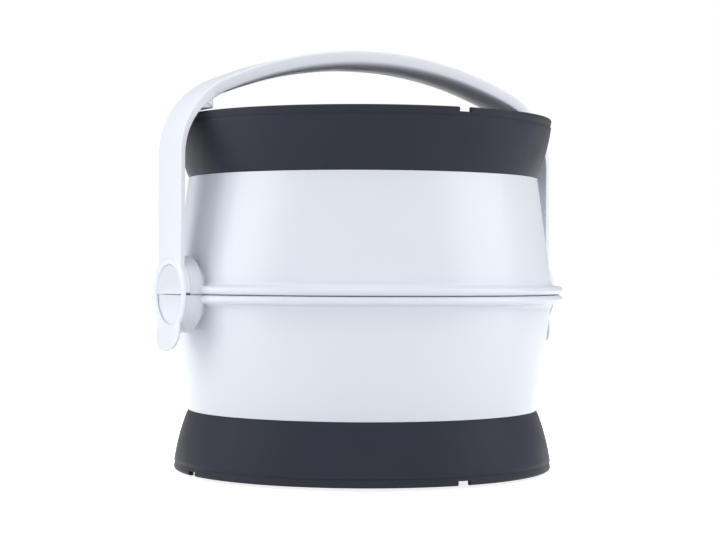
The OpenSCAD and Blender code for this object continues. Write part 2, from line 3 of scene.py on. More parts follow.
import bmesh
import bpy
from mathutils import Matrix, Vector


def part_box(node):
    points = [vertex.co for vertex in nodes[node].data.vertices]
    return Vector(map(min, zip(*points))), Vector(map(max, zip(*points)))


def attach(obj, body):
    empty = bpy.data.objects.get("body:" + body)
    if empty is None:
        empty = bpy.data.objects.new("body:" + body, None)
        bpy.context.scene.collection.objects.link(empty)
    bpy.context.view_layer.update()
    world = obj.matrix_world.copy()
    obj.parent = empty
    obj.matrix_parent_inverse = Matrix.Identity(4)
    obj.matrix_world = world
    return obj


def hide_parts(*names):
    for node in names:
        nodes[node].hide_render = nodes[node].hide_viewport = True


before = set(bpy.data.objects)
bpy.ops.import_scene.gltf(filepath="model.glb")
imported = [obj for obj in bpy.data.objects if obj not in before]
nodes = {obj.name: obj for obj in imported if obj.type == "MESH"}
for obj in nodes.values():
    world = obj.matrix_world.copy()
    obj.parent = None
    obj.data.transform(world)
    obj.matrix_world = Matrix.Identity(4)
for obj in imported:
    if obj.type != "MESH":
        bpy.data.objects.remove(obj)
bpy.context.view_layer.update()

MM = 0.001

# Sizes of the object, in millimetres. Levels are distances from the seam, the same in both halves.
PIN_RADIUS = 1.5
SEAM_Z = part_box("hinge_pin")[0].z / MM + PIN_RADIUS
SEAM_FACE = 0.3
LOBE_FACE = 0.12
SEAM_RADIUS = 84.5
WAIST_RADIUS = 77.7
WAIST_LEVEL = 51.2
HALF_HEIGHT = 77.4
WALL = 2.4
RIM_RADIUS = 84.2
RIM_BAND = 3.6
RIM_STEP = 0.35
RIM_ROUND = 1.1
FLARE_BULGE = 0.95
PANEL_LEVEL = 73.2
SLEEVE_INSET = 2.3
SLEEVE_RADIUS = WAIST_RADIUS - SLEEVE_INSET
SLEEVE_WALL = 2.2
COLLAR_RADIUS = SEAM_RADIUS - 4.3
LEDGE_RADIUS = 77.6
LEDGE_LEVEL = 4.0
LEDGE_CONE_LEVEL = 8.8
WAIST_CONE_LEVEL = 46.4
SOCKET_HALF_WIDTH = 11.2
NOTCH_WIDTH = 6
NOTCH_DEPTH = 2
FLANGE_RADIUS = 89.1
LOBE_HEIGHT = 3.7
LOBE_FILLET = 2
HUB_RADIUS = 16.3
HUB_BACK = 85.6
HUB_REACH = 91.8
HUB_NECK_RADIUS = 12.6
LID_BOSS_RADIUS = 12.4
LID_BOSS_END = 94.6
BASE_BOSS_END = 93.88
EYE_RADIUS = 16.5
EYE_HOLE = 12.55
EYE_BACK = 94.0
EYE_FACE = 95.2
EYE_ROUND = 2.2
ARM_REACH = 94.6
FLANGE_TUCK = 11.5
HINGE_REACH = 88.8
KNUCKLE_RADIUS = 3.4
KNUCKLE_HALF = 9.2
KNUCKLE_LENGTH = 9.5
CROWN_RISE = 107.3
CROWN_RADIUS = 180
BEND_RADIUS = 36
STRAP_WIDTH = 23
ARM_THICKNESS = 2.4
SHOULDER_REACH = 79.3
SHOULDER_LEVEL = 78.4
TAB_DROP = 24.2
TAB_CORNER = 7.5
TAB_FLARE = 1.9
TAB_TOP = -10.5
TAB_BOW = 0.8
TAB_BEND_START = 13
TAB_BEND_POWER = 1.7
TAB_FACE_EXTRA = 0.35
ARCH_END_ANGLE = 3.1

# The photograph's frame and the camera that took it
FRAME_WIDTH = 716
SENSOR_WIDTH = 36
FOCAL_PX = 1807.5
CAMERA_AZIMUTH = -30
CAMERA_HEIGHT = 89.45
CAMERA_DISTANCE = 810
CAMERA_ROLL = 0.22
AXIS_RIGHT_OF_CENTRE_PX = 4.7


def make_camera():
    turn = math.radians(CAMERA_AZIMUTH)
    back = Vector((math.sin(turn), -math.cos(turn), 0))
    right = Vector((math.cos(turn), math.sin(turn), 0))
    aside = AXIS_RIGHT_OF_CENTRE_PX * CAMERA_DISTANCE / FOCAL_PX
    data = bpy.data.cameras.new("camera")
    data.sensor_width = SENSOR_WIDTH
    data.lens = FOCAL_PX * SENSOR_WIDTH / FRAME_WIDTH
    data.clip_start = 0.02
    data.clip_end = 20
    camera = bpy.data.objects.new("camera", data)
    place = back * CAMERA_DISTANCE - right * aside
    camera.location = Vector((place.x, place.y, CAMERA_HEIGHT)) * MM
    camera.rotation_euler = (math.pi / 2, -math.radians(CAMERA_ROLL), turn)
    bpy.context.scene.collection.objects.link(camera)
    bpy.context.scene.camera = camera


make_camera()
bpy.context.scene.view_settings.view_transform = "Standard"


# Colours and materials

def linear(red, green, blue):
    """An sRGB colour of 0 to 255 as the linear RGBA that a shader takes."""
    def one(value):
        share = value / 255
        return share / 12.92 if share <= 0.04045 else ((share + 0.055) / 1.055) ** 2.4
    return (one(red), one(green), one(blue), 1)


def shader_tree(name):
    material = bpy.data.materials.new(name)
    material.use_nodes = True
    tree = material.node_tree
    return material, tree, tree.nodes["Principled BSDF"]


def noise(tree, scale, detail=3, stretch=(1, 1, 1)):
    place = tree.nodes.new("ShaderNodeTexCoord")
    mapping = tree.nodes.new("ShaderNodeMapping")
    mapping.inputs["Scale"].default_value = stretch
    texture = tree.nodes.new("ShaderNodeTexNoise")
    texture.inputs["Scale"].default_value = scale
    texture.inputs["Detail"].default_value = detail
    tree.links.new(place.outputs["Object"], mapping.inputs["Vector"])
    tree.links.new(mapping.outputs["Vector"], texture.inputs["Vector"])
    return texture.outputs["Fac"]


def spread(tree, value, low, high):
    ranged = tree.nodes.new("ShaderNodeMapRange")
    ranged.inputs["From Min"].default_value = 0.3
    ranged.inputs["From Max"].default_value = 0.7
    ranged.inputs["To Min"].default_value = low
    ranged.inputs["To Max"].default_value = high
    tree.links.new(value, ranged.inputs["Value"])
    return ranged.outputs["Result"]


def tint(tree, value, first, second):
    ramp = tree.nodes.new("ShaderNodeValToRGB")
    ramp.color_ramp.elements[0].position = 0.35
    ramp.color_ramp.elements[0].color = first
    ramp.color_ramp.elements[1].position = 0.65
    ramp.color_ramp.elements[1].color = second
    tree.links.new(value, ramp.inputs["Fac"])
    return ramp.outputs["Color"]


def bump(tree, shader, value, depth):
    node = tree.nodes.new("ShaderNodeBump")
    node.inputs["Strength"].default_value = 0.6
    node.inputs["Distance"].default_value = depth * MM
    tree.links.new(value, node.inputs["Height"])
    tree.links.new(node.outputs["Normal"], shader.inputs["Normal"])


def moulded(name, colour, change, rough, grain_scale, grain_depth, coat=0, specular=0.5):
    """Moulded plastic or rubber: a slow drift of tone, a fine grain and a little change of gloss."""
    material, tree, shader = shader_tree(name)
    darker = tuple(c * (1 - change) for c in colour[:3]) + (1,)
    lighter = tuple(min(c * (1 + change), 1) for c in colour[:3]) + (1,)
    tree.links.new(tint(tree, noise(tree, 18), darker, lighter), shader.inputs["Base Color"])
    gloss = spread(tree, noise(tree, 60, 4), rough * 0.9, rough * 1.1)
    tree.links.new(gloss, shader.inputs["Roughness"])
    bump(tree, shader, noise(tree, grain_scale, 2), grain_depth)
    shader.inputs["Coat Weight"].default_value = coat
    shader.inputs["Coat Roughness"].default_value = 0.12
    shader.inputs["Specular IOR Level"].default_value = specular
    return material


def metal(name, colour, rough, stretch, grain_scale=400, grain_depth=0.004, change=0.06):
    """Metal with a grain drawn out along one direction."""
    material, tree, shader = shader_tree(name)
    darker = tuple(c * (1 - change) for c in colour[:3]) + (1,)
    grain = noise(tree, grain_scale, 4, stretch)
    tree.links.new(tint(tree, noise(tree, 25), darker, colour), shader.inputs["Base Color"])
    tree.links.new(spread(tree, grain, rough * 0.75, rough * 1.25), shader.inputs["Roughness"])
    bump(tree, shader, grain, grain_depth)
    shader.inputs["Metallic"].default_value = 1
    return material


def clear_plastic(name):
    material, tree, shader = shader_tree(name)
    tree.links.new(
        tint(tree, noise(tree, 20), linear(226, 233, 238), linear(238, 243, 246)),
        shader.inputs["Base Color"],
    )
    tree.links.new(spread(tree, noise(tree, 90), 0.16, 0.24), shader.inputs["Roughness"])
    bump(tree, shader, noise(tree, 300), 0.01)
    shader.inputs["Transmission Weight"].default_value = 0.75
    shader.inputs["IOR"].default_value = 1.45
    return material


WHITE = moulded("white_satin", linear(218, 224, 232), 0.006, 0.32, 900, 0.002, coat=0.15)
HANDLE_WHITE = moulded("white_handle", linear(228, 232, 240), 0.006, 0.36, 900, 0.002, coat=0.1)
CHARCOAL = moulded("charcoal", linear(47, 50, 60), 0.04, 0.46, 1400, 0.008, specular=0.1)
CHARCOAL_PANEL = moulded(
    "charcoal_panel", linear(47, 50, 60), 0.05, 0.52, 1100, 0.02, specular=0.15
)
BLACK = moulded("black_plastic", linear(28, 28, 30), 0.06, 0.5, 1200, 0.012)
RUBBER = moulded("foot_rubber", linear(34, 34, 36), 0.08, 0.75, 800, 0.03, specular=0.3)
SILICONE = moulded("silicone", linear(188, 191, 194), 0.03, 0.55, 500, 0.01)
LEADS = moulded("lead_sleeve", linear(176, 40, 34), 0.05, 0.45, 600, 0.01)
CERAMIC = moulded("ceramic", linear(226, 223, 212), 0.03, 0.6, 700, 0.012)
DRAWN_STEEL = metal("drawn_steel", linear(205, 207, 211), 0.22, (1, 1, 9))
ZINC_STEEL = metal("zinc_steel", linear(190, 192, 196), 0.35, (1, 1, 1), 700)
SHEATH = metal("element_sheath", linear(132, 126, 120), 0.45, (1, 1, 1), 300, 0.01, 0.2)
CAST = metal("cast_alloy", linear(188, 190, 194), 0.5, (1, 1, 1), 220, 0.03)
BRASS = metal("contact_brass", linear(214, 182, 110), 0.25, (1, 6, 1))
CLEAR = clear_plastic("clear_cover")

NODE_MATERIALS = {
    "base_shell": WHITE, "lid_shell": WHITE, "handle": HANDLE_WHITE,
    "base_ring": CHARCOAL, "lid_ring": CHARCOAL, "lid_panel": CHARCOAL_PANEL,
    "bottom_cover": CHARCOAL_PANEL, "rubber_feet": RUBBER, "bottom_screws": ZINC_STEEL,
    "heating_well": DRAWN_STEEL, "well_screws": ZINC_STEEL, "heating_plate": CAST,
    "heating_element": SHEATH, "thermostat": BLACK, "thermal_fuse": CERAMIC,
    "heat_shield": ZINC_STEEL, "shield_screws": ZINC_STEEL, "power_inlet": BLACK,
    "inlet_pins": BRASS, "inlet_screws": ZINC_STEEL, "inner_leads": LEADS,
    "seam_gasket": SILICONE, "hinge_pin": ZINC_STEEL, "food_bowl": DRAWN_STEEL,
    "bowl_cover": CLEAR, "bowl_gasket": SILICONE, "bowl_vent": SILICONE,
    "food_tray": DRAWN_STEEL, "tray_cover": CLEAR, "tray_gasket": SILICONE,
    "tray_vent": SILICONE, "lid_liner": DRAWN_STEEL, "liner_screws": ZINC_STEEL,
}
for name, node in nodes.items():
    node.data.materials.clear()
    node.data.materials.append(NODE_MATERIALS[name])


# Mesh helpers: every piece is made in millimetres and stored in metres

SHARP_ANGLE = math.radians(38)


def finish_mesh(name, mesh_data, body, material, stands_for=()):
    """An object from a bmesh, smooth but for its sharp edges, riding on its body."""
    bmesh.ops.recalc_face_normals(mesh_data, faces=mesh_data.faces)
    for face in mesh_data.faces:
        face.smooth = True
    for edge in mesh_data.edges:
        if len(edge.link_faces) == 2 and edge.calc_face_angle() > SHARP_ANGLE:
            edge.smooth = False
    mesh = bpy.data.meshes.new(name)
    mesh_data.to_mesh(mesh)
    mesh_data.free()
    piece = bpy.data.objects.new(name, mesh)
    bpy.context.scene.collection.objects.link(piece)
    mesh.materials.append(material)
    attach(piece, body)
    if stands_for:
        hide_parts(*stands_for)
    return piece


def loft(rings, looped=False):
    """A skin through rings of points, each a closed loop, capped at both ends unless looped."""
    made = bmesh.new()
    rows = [[made.verts.new(Vector(point) * MM) for point in ring] for ring in rings]
    count = len(rows[0])
    pairs = list(zip(rows, rows[1:]))
    if looped:
        pairs.append((rows[-1], rows[0]))
    for first, second in pairs:
        for i in range(count):
            j = (i + 1) % count
            made.faces.new((first[i], first[j], second[j], second[i]))
    if not looped:
        made.faces.new(rows[0])
        made.faces.new(rows[-1])
    return made


def join(*parts):
    """One bmesh that holds all of these."""
    whole = parts[0]
    for part in parts[1:]:
        spare = bpy.data.meshes.new("spare")
        part.to_mesh(spare)
        part.free()
        whole.from_mesh(spare)
        bpy.data.meshes.remove(spare)
    return whole


def cut(made, *tools):
    """The first bmesh less the others."""
    objects = []
    for part in (made, *tools):
        bmesh.ops.recalc_face_normals(part, faces=part.faces)
        mesh = bpy.data.meshes.new("spare")
        part.to_mesh(mesh)
        part.free()
        spare = bpy.data.objects.new("spare", mesh)
        bpy.context.scene.collection.objects.link(spare)
        objects.append(spare)
    for tool in objects[1:]:
        modifier = objects[0].modifiers.new("cut", "BOOLEAN")
        modifier.operation = "DIFFERENCE"
        modifier.solver = "EXACT"
        modifier.object = tool
    bpy.context.view_layer.update()
    result = bmesh.new()
    seen = objects[0].evaluated_get(bpy.context.evaluated_depsgraph_get())
    result.from_mesh(seen.to_mesh())
    seen.to_mesh_clear()
    for spare in objects:
        mesh = spare.data
        bpy.data.objects.remove(spare)
        bpy.data.meshes.remove(mesh)
    return result


def fillet(corners, steps=6):
    """A closed outline from (x, y, radius) corners, each rounded with an arc."""
    outline = []
    count = len(corners)
    for i, (x, y, radius) in enumerate(corners):
        here = Vector((x, y))
        if not radius:
            outline.append(here)
            continue
        before = (Vector(corners[i - 1][:2]) - here).normalized()
        after = (Vector(corners[(i + 1) % count][:2]) - here).normalized()
        half = before.angle(after) / 2
        centre = here + (before + after).normalized() * radius / math.sin(half)
        start = here + before * radius / math.tan(half) - centre
        end = here + after * radius / math.tan(half) - centre
        turn = start.angle_signed(end)
        for step in range(steps + 1):
            angle = -turn * step / steps
            outline.append(centre + Vector((
                start.x * math.cos(angle) - start.y * math.sin(angle),
                start.x * math.sin(angle) + start.y * math.cos(angle),
            )))
    return [(point.x, point.y) for point in outline]


def shrink(outline, distance):
    """A closed outline moved inwards by a distance."""
    count = len(outline)
    area = sum(
        outline[i - 1][0] * outline[i][1] - outline[i][0] * outline[i - 1][1] for i in range(count)
    )
    side = 1 if area > 0 else -1
    moved = []
    for i in range(count):
        before = Vector(outline[i - 1])
        here = Vector(outline[i])
        after = Vector(outline[(i + 1) % count])
        first = (here - before).normalized()
        second = (after - here).normalized()
        way = Vector((-(first.y + second.y), first.x + second.x)).normalized() * side
        lean = max(way.dot(Vector((-first.y, first.x)) * side), 0.3)
        moved.append(tuple(here + way * distance / lean))
    return moved


def rounded_slab(outline, start, end, edge, place, edge_start=None):
    """A slab between two depths with rounded edges; place turns (u, v, depth) into a point."""
    first_edge = edge if edge_start is None else edge_start
    stations = []
    for step in range(5):
        angle = math.pi / 2 * step / 4
        inset = first_edge * (1 - math.sin(angle))
        stations.append((inset, start + first_edge * (1 - math.cos(angle))))
    for step in range(5):
        angle = math.pi / 2 * (1 - step / 4)
        stations.append((edge * (1 - math.sin(angle)), end - edge * (1 - math.cos(angle))))
    rings = []
    for inset, depth in stations:
        shape = shrink(outline, inset) if inset > 1e-6 else outline
        rings.append([place(u, v, depth) for u, v in shape])
    return loft(rings)


def revolve(outline, up, steps=288):
    """A closed outline of (radius, level) turned about the vertical, up or down from the seam."""
    rings = []
    for step in range(steps):
        angle = 2 * math.pi * step / steps
        rings.append([
            (r * math.cos(angle), r * math.sin(angle), SEAM_Z + up * level) for r, level in outline
        ])
    return loft(rings, looped=True)


def wall_radius(level):
    return SEAM_RADIUS - (SEAM_RADIUS - WAIST_RADIUS) * level / WAIST_LEVEL


# White halves

def half_wall(up):
    """One white wall with its collar, ledge and the sleeve that goes into the dark ring."""
    sleeve_inner = SLEEVE_RADIUS - SLEEVE_WALL
    return revolve(fillet([
        (COLLAR_RADIUS, SEAM_FACE, 0.4),
        (wall_radius(SEAM_FACE), SEAM_FACE, 0.4),
        (WAIST_RADIUS, WAIST_LEVEL, 0.25),
        (SLEEVE_RADIUS, WAIST_LEVEL, 0),
        (SLEEVE_RADIUS, PANEL_LEVEL, 0.4),
        (sleeve_inner, PANEL_LEVEL, 0.4),
        (sleeve_inner, WAIST_LEVEL - WALL, 0),
        (wall_radius(WAIST_CONE_LEVEL) - WALL, WAIST_CONE_LEVEL, 0),
        (wall_radius(LEDGE_CONE_LEVEL) - WALL, LEDGE_CONE_LEVEL, 0),
        (LEDGE_RADIUS, LEDGE_LEVEL + WALL, 0),
        (LEDGE_RADIUS, LEDGE_LEVEL, 0),
        (COLLAR_RADIUS, LEDGE_LEVEL, 0.3),
    ], steps=3), up)


def lobe_section():
    """Outline of a flange lobe with its fillet into the wall, as (radius, level)."""
    lobe = (LOBE_HEIGHT - LOBE_FACE) / 2
    root = SEAM_RADIUS - 1
    outline = [(root, LOBE_FACE + 0.02)]
    for step in range(17):
        angle = -math.pi / 2 + math.pi * step / 16
        outline.append((
            FLANGE_RADIUS - lobe + lobe * math.cos(angle),
            LOBE_FACE + lobe + lobe * math.sin(angle),
        ))
    edge = wall_radius(LOBE_HEIGHT) + LOBE_FILLET
    for step in range(9):
        angle = -math.pi / 2 - math.pi / 2 * step / 8
        outline.append((
            edge + LOBE_FILLET * math.cos(angle),
            LOBE_HEIGHT + LOBE_FILLET + LOBE_FILLET * math.sin(angle),
        ))
    outline.append((root - 0.6, LOBE_HEIGHT + LOBE_FILLET))
    return outline


def lobe_arc(up, start, end):
    """A stretch of flange between two angles in degrees, with rounded ends."""
    section = lobe_section()
    root = section[0][0] - 0.6
    middle = (LOBE_FACE + LOBE_HEIGHT) / 2
    taper = 1.8
    span = math.radians(end - start) * FLANGE_RADIUS
    steps = max(int((end - start) / 1.25), 4)
    places = []
    for step in range(7):
        share = 1 - math.cos(math.pi / 2 * step / 6)
        places.append((taper * share, math.sin(math.pi / 2 * step / 6)))
    stations = [(run, max(size, 0.06)) for run, size in places]
    stations += [(taper + (span - 2 * taper) * i / steps, 1) for i in range(1, steps)]
    stations += [(span - run, max(size, 0.06)) for run, size in reversed(places)]
    rings = []
    for run, size in stations:
        angle = math.radians(start) + run / FLANGE_RADIUS
        ring = []
        for radius, level in section:
            r = root + (radius - root) * size
            h = middle + (level - middle) * (0.45 + 0.55 * size)
            ring.append((r * math.cos(angle), r * math.sin(angle), SEAM_Z + up * h))
        rings.append(ring)
    return loft(rings)


def half_disc(radius, up):
    """Outline in (y, z) of the half of a disc above or below the seam, with eased corners."""
    ease = 0.5
    start = math.asin((LOBE_FACE + ease) / radius)
    outline = [(radius * math.cos(start) - ease, LOBE_FACE)]
    steps = 40
    for step in range(steps + 1):
        angle = start + (math.pi - 2 * start) * step / steps
        outline.append((radius * math.cos(angle), radius * math.sin(angle)))
    outline.append((-radius * math.cos(start) + ease, LOBE_FACE))
    return [(y, SEAM_Z + up * z) for y, z in outline]


def half_boss(side, up, radius, start, end, edge, edge_start=0.05):
    """Half of a round boss on the handle's axis, between two distances from the centre."""
    return rounded_slab(
        half_disc(radius, up), start, end, edge,
        lambda y, z, x: (side * x, y, z), edge_start=edge_start,
    )


def half_hub(side, up):
    """The narrow neck at the wall and the wide hub in front of it."""
    return [
        half_boss(side, up, HUB_NECK_RADIUS, SEAM_RADIUS - 3, HUB_BACK + 0.6, 0.1),
        half_boss(side, up, HUB_RADIUS, HUB_BACK, HUB_REACH, 0.1, 0.8),
    ]


def knuckle(up, start, end):
    """A hinge knuckle with its web to the wall, with rounded ends."""
    web = SEAM_RADIUS - 1.5
    if up > 0:
        turn = [-90 + 10 * i for i in range(19)]
    else:
        turn = [90 - 10 * i for i in range(19)]
    outline = [
        (HINGE_REACH + KNUCKLE_RADIUS * math.cos(math.radians(a)),
         SEAM_Z + KNUCKLE_RADIUS * math.sin(math.radians(a))) for a in turn
    ]
    outline += [(web, SEAM_Z + up * KNUCKLE_RADIUS), (web, SEAM_Z + up * SEAM_FACE)]
    back = HINGE_REACH - KNUCKLE_RADIUS
    outline += [(back, SEAM_Z + up * SEAM_FACE)]
    for a in (60, 30):
        outline.append((
            HINGE_REACH - KNUCKLE_RADIUS * math.sin(math.radians(a + 5)),
            SEAM_Z - up * KNUCKLE_RADIUS * math.cos(math.radians(a + 5)),
        ))
    return rounded_slab(outline, start, end, 0.4, lambda y, z, x: (x, y, z))


FLANGE_END = math.degrees(math.asin(FLANGE_TUCK / FLANGE_RADIUS))
BASE_KNUCKLE = KNUCKLE_HALF + 0.3


def angle_at(x):
    return math.degrees(math.acos(x / FLANGE_RADIUS))


def base_half():
    finish_mesh("base_wall", half_wall(-1), "base", WHITE, ["base_shell"])
    pieces = [lobe_arc(-1, -180 + FLANGE_END, -FLANGE_END)]
    pieces.append(lobe_arc(-1, FLANGE_END, angle_at(BASE_KNUCKLE + 0.1)))
    pieces.append(lobe_arc(-1, 180 - angle_at(BASE_KNUCKLE + 0.1), 180 - FLANGE_END))
    finish_mesh("base_flange", join(*pieces), "base", WHITE)
    bosses = []
    for side in (-1, 1):
        bosses += half_hub(side, -1)
        bosses.append(half_boss(side, -1, HUB_RADIUS, HUB_REACH - 0.05, BASE_BOSS_END, 0.2))
    finish_mesh("base_bosses", join(*bosses), "base", WHITE)
    arms = [knuckle(-1, BASE_KNUCKLE, BASE_KNUCKLE + KNUCKLE_LENGTH)]
    arms.append(knuckle(-1, -BASE_KNUCKLE - KNUCKLE_LENGTH, -BASE_KNUCKLE))
    finish_mesh("base_knuckles", join(*arms), "base", WHITE)


def lid_half():
    finish_mesh("lid_wall", half_wall(1), "lid", WHITE, ["lid_shell"])
    reach = BASE_KNUCKLE + KNUCKLE_LENGTH + 0.4
    pieces = [lobe_arc(1, -180 + FLANGE_END, -FLANGE_END)]
    pieces.append(lobe_arc(1, FLANGE_END, angle_at(reach)))
    pieces.append(lobe_arc(1, 180 - angle_at(reach), 180 - FLANGE_END))
    finish_mesh("lid_flange", join(*pieces), "lid", WHITE)
    bosses = []
    for side in (-1, 1):
        bosses += half_hub(side, 1)
        bosses.append(half_boss(side, 1, LID_BOSS_RADIUS, HUB_REACH - 0.1, LID_BOSS_END, 0.5))
    finish_mesh("lid_bosses", join(*bosses), "lid", WHITE)
    middle = knuckle(1, -KNUCKLE_HALF, KNUCKLE_HALF)
    finish_mesh("lid_knuckle", middle, "lid", WHITE)


base_half()
lid_half()


# Dark rings

def flare_arc():
    """Centre and radius of the arc of the ring's side, through the waist and the rim."""
    run = RIM_RADIUS - WAIST_RADIUS
    rise = HALF_HEIGHT - WAIST_LEVEL
    chord = math.hypot(run, rise)
    radius = (chord ** 2 / 4 + FLARE_BULGE ** 2) / (2 * FLARE_BULGE)
    off = radius - FLARE_BULGE
    centre_r = (WAIST_RADIUS + RIM_RADIUS) / 2 - off * rise / chord
    centre_level = (WAIST_LEVEL + HALF_HEIGHT) / 2 + off * run / chord
    return centre_r, centre_level, radius


def flare_radius(level, inset=0):
    centre_r, centre_level, radius = flare_arc()
    return centre_r + math.sqrt((radius - inset) ** 2 - (level - centre_level) ** 2)


def ring_outline():
    band = HALF_HEIGHT - RIM_BAND
    outline = [(SLEEVE_RADIUS + 0.3, WAIST_LEVEL + 0.05)]
    ease = 0.3
    outline.append((flare_radius(WAIST_LEVEL) - ease, WAIST_LEVEL + 0.05))
    outline.append((flare_radius(WAIST_LEVEL) - 0.05, WAIST_LEVEL + ease))
    steps = 14
    for step in range(1, steps):
        level = WAIST_LEVEL + ease + (band - 0.35 - WAIST_LEVEL - ease) * step / steps
        outline.append((flare_radius(level), level))
    edge = flare_radius(band - 0.3)
    outline += [(edge, band - 0.3), (edge - 0.1, band - 0.08), (edge - RIM_STEP, band)]
    top = HALF_HEIGHT - RIM_ROUND
    middle = RIM_RADIUS - RIM_STEP - RIM_ROUND
    outline.append((flare_radius((band + top) / 2, RIM_STEP), (band + top) / 2))
    for step in range(9):
        angle = math.pi / 2 * step / 8
        outline.append((middle + RIM_ROUND * math.cos(angle), top + RIM_ROUND * math.sin(angle)))
    inner = RIM_RADIUS - WALL - 0.4
    outline += [(inner + 0.4, HALF_HEIGHT), (inner + 0.12, HALF_HEIGHT - 0.12)]
    outline += [(inner, HALF_HEIGHT - 0.4)]
    outline += [(inner, PANEL_LEVEL), (SLEEVE_RADIUS + 0.3, PANEL_LEVEL)]
    return outline


def box_mesh(low, high):
    corners = [(low[0], low[1]), (high[0], low[1]), (high[0], high[1]), (low[0], high[1])]
    return loft([[(x, y, z) for x, y in corners] for z in (low[2], high[2])])


def dark_ring(name, up, body, node):
    tools = []
    low, high = sorted((SEAM_Z + up * (HALF_HEIGHT - NOTCH_DEPTH), SEAM_Z + up * (HALF_HEIGHT + 2)))
    half = NOTCH_WIDTH / 2
    for side in (-1, 1):
        ends = sorted((side * (RIM_RADIUS - 8), side * (RIM_RADIUS + 4)))
        tools.append(box_mesh((ends[0], -half, low), (ends[1], half, high)))
        tools.append(box_mesh((-half, ends[0], low), (half, ends[1], high)))
    if up < 0:
        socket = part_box("power_inlet")
        tools.append(box_mesh(
            (-SOCKET_HALF_WIDTH, RIM_RADIUS - 14, socket[0].z / MM - 0.2),
            (SOCKET_HALF_WIDTH, RIM_RADIUS + 4, socket[1].z / MM + 0.2),
        ))
    made = cut(revolve(ring_outline(), up), *tools)
    finish_mesh(name, made, body, CHARCOAL, [node])


dark_ring("base_flared_ring", -1, "base", "base_ring")
dark_ring("lid_flared_ring", 1, "lid", "lid_ring")


# Handle

def blend_through(points, value):
    """The amount at a place, on straight lines between (place, amount) points in order."""
    if value <= points[0][0]:
        return points[0][1]
    for (a, low), (b, high) in zip(points, points[1:]):
        if value <= b:
            return low + (high - low) * (value - a) / (b - a)
    return points[-1][1]


BEND_X = ARM_REACH - BEND_RADIUS
CROWN_Z = CROWN_RISE - CROWN_RADIUS
BEND_Z = CROWN_Z + math.sqrt((CROWN_RADIUS - BEND_RADIUS) ** 2 - BEND_X ** 2)
CROWN_HALF = math.asin(BEND_X / (CROWN_RADIUS - BEND_RADIUS))
STRAP_END = 8
# Thickness of the strap at distances along it from the crown's middle
STRAP_DEPTHS = [
    (0, 7.9), (30, 7.65), (62, 6.9), (75, 6.3), (84, 5.2), (95, 3.6), (107, 2.7), (118, ARM_THICKNESS),
]


def handle_stations():
    """Points along the outer face from the crown's middle down to the eye: (x, z, outward, run)."""
    stations = []
    crown_run = CROWN_RADIUS * CROWN_HALF
    for step in range(31):
        angle = CROWN_HALF * step / 30
        way = Vector((math.sin(angle), math.cos(angle)))
        spot = Vector((0, CROWN_Z)) + way * CROWN_RADIUS
        stations.append((spot, way, CROWN_RADIUS * angle))
    bend_turn = math.pi / 2 - CROWN_HALF
    for step in range(1, 25):
        angle = CROWN_HALF + bend_turn * step / 24
        way = Vector((math.sin(angle), math.cos(angle)))
        spot = Vector((BEND_X, BEND_Z)) + way * BEND_RADIUS
        stations.append((spot, way, crown_run + BEND_RADIUS * (angle - CROWN_HALF)))
    bend_run = crown_run + BEND_RADIUS * bend_turn
    for step in range(1, 17):
        z = BEND_Z + (STRAP_END - BEND_Z) * step / 16
        stations.append((Vector((ARM_REACH, z)), Vector((1, 0)), bend_run + BEND_Z - z))
    return stations


def strap_section(depth):
    """Outline in (y, depth) of the strap: a flat outer face, thin edges and a crowned underside."""
    half = STRAP_WIDTH / 2
    edge = min(4.4, depth * 0.85)
    top = 0.9
    outline = []
    for step in range(7):
        angle = math.pi / 2 * step / 6
        outline.append((half - top + top * math.sin(angle), top - top * math.cos(angle)))
    steps = 18
    for step in range(steps + 1):
        angle = math.pi * step / steps
        y = half * math.cos(angle)
        swell = abs(math.sin(angle)) ** 0.75
        outline.append((y, edge + (depth - edge) * swell))
    for step in range(7):
        angle = math.pi / 2 * (1 - step / 6)
        outline.append((-half + top - top * math.sin(angle), top - top * math.cos(angle)))
    return outline


def strap():
    rings = []
    stations = handle_stations()
    whole = [(-1, s) for s in reversed(stations)] + [(1, s) for s in stations[1:]]
    for side, (spot, way, run) in whole:
        depth = blend_through(STRAP_DEPTHS, run)
        ring = []
        for y, down in strap_section(depth):
            point = spot - way * down
            ring.append((side * point.x, y, SEAM_Z + point.y))
        rings.append(ring)
    return loft(rings)


def turned_x(side, outline, steps=128):
    """A closed outline of (radius, x) turned about the handle's axis."""
    rings = []
    for step in range(steps):
        angle = 2 * math.pi * step / steps
        rings.append([
            (side * x, r * math.cos(angle), SEAM_Z + r * math.sin(angle)) for r, x in outline
        ])
    return loft(rings, looped=True)


def rod(side, radius, start, end, steps=96):
    """A solid rod along the handle's axis."""
    rings = []
    for x in (start, end):
        rings.append([(
            side * x,
            radius * math.cos(2 * math.pi * step / steps),
            SEAM_Z + radius * math.sin(2 * math.pi * step / steps),
        ) for step in range(steps)])
    return loft(rings)


def eye(side):
    """The ring in front of the split boss."""
    outline = [(EYE_HOLE + 0.2, EYE_BACK), (EYE_RADIUS - 0.3, EYE_BACK)]
    middle = EYE_RADIUS - EYE_ROUND
    for step in range(9):
        angle = math.radians(27 + 63 * step / 8)
        level = EYE_FACE + EYE_ROUND * (math.sin(angle) - 1)
        outline.append((middle + EYE_ROUND * math.cos(angle), level))
    outline += [(EYE_HOLE + 1.3, EYE_FACE - 0.05), (EYE_HOLE + 0.6, EYE_FACE - 0.25)]
    outline += [(EYE_HOLE + 0.15, EYE_FACE - 0.6)]
    outline += [(EYE_HOLE, EYE_BACK + 0.3), (EYE_HOLE, EYE_BACK + 0.1)]
    return turned_x(side, outline)


